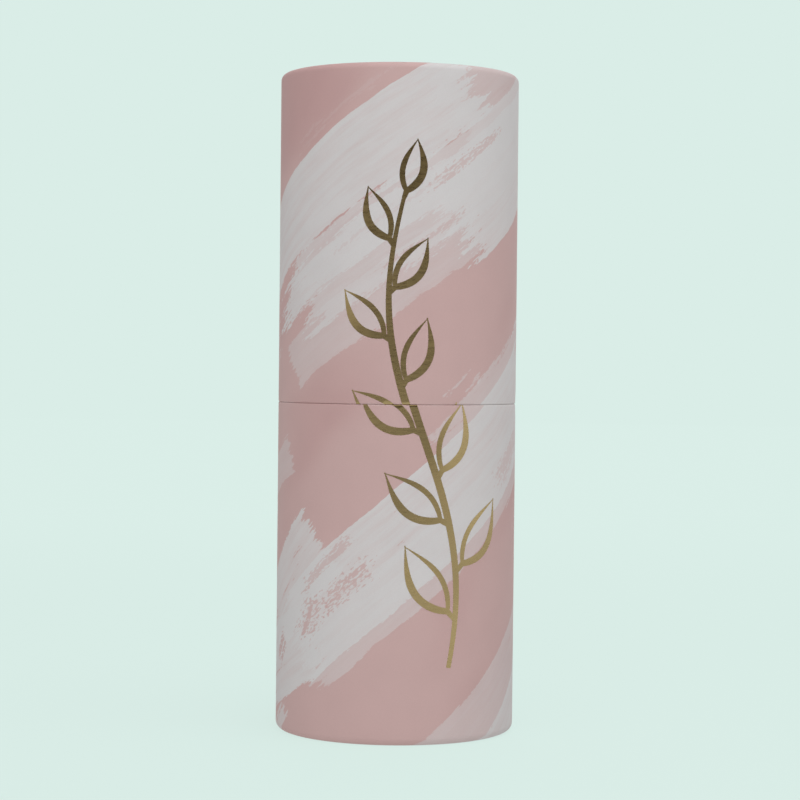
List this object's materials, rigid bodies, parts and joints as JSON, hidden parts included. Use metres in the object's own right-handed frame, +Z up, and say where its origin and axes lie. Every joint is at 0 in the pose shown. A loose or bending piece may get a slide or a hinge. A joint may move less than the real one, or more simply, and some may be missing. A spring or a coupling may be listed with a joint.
{
  "type": "cylindrical gift tube box",
  "caption": "Tall round paperboard gift box with a lift-off lid over an inner neck, curled rims and a brush-stroke print.",
  "frame": {"origin": "middle of the footprint, on the surface that the box stands on", "axes": "+Z up along the box's axis, -Y towards the viewer of the printed front, laps of the paper wraps at +Y"},
  "size_m": [0.08, 0.0802, 0.22],
  "materials": {
    "printed_paper": "uncoated matt paper with a brush-stroke print in dusty pink, pale pink and white",
    "white_paper": "plain matt white lining paper",
    "grey_board": "wound grey board, covered by the papers",
    "gold_foil": "hot-stamped gold foil line on the printed paper, slightly rippled"
  },
  "bodies": {
    "base": {"base_board_tube": "grey_board", "base_printed_wrap": "printed_paper", "base_end_disc": "grey_board", "base_bottom_facing": "white_paper", "base_floor_paper": "white_paper", "neck_board_tube": "grey_board", "neck_cover_paper": "white_paper", "neck_lining_paper": "white_paper"},
    "lid_carrier": {"lid_ceiling_paper": "white_paper"},
    "lid": {"lid_board_tube": "grey_board", "lid_printed_wrap": "printed_paper", "lid_end_disc": "grey_board", "lid_top_facing": "printed_paper", "lid_lining_paper": "white_paper"}
  },
  "joints": [
    {"name": "lid_lift", "type": "slide", "parent": "base", "child": "lid_carrier", "axis": [0, 0, 1], "range_m": [0, 0.09]},
    {"name": "lid_turn", "type": "hinge", "parent": "lid_carrier", "child": "lid", "pos_m": [0, 0, 0.11], "axis": [0, 0, 1], "continuous": true}
  ]
}
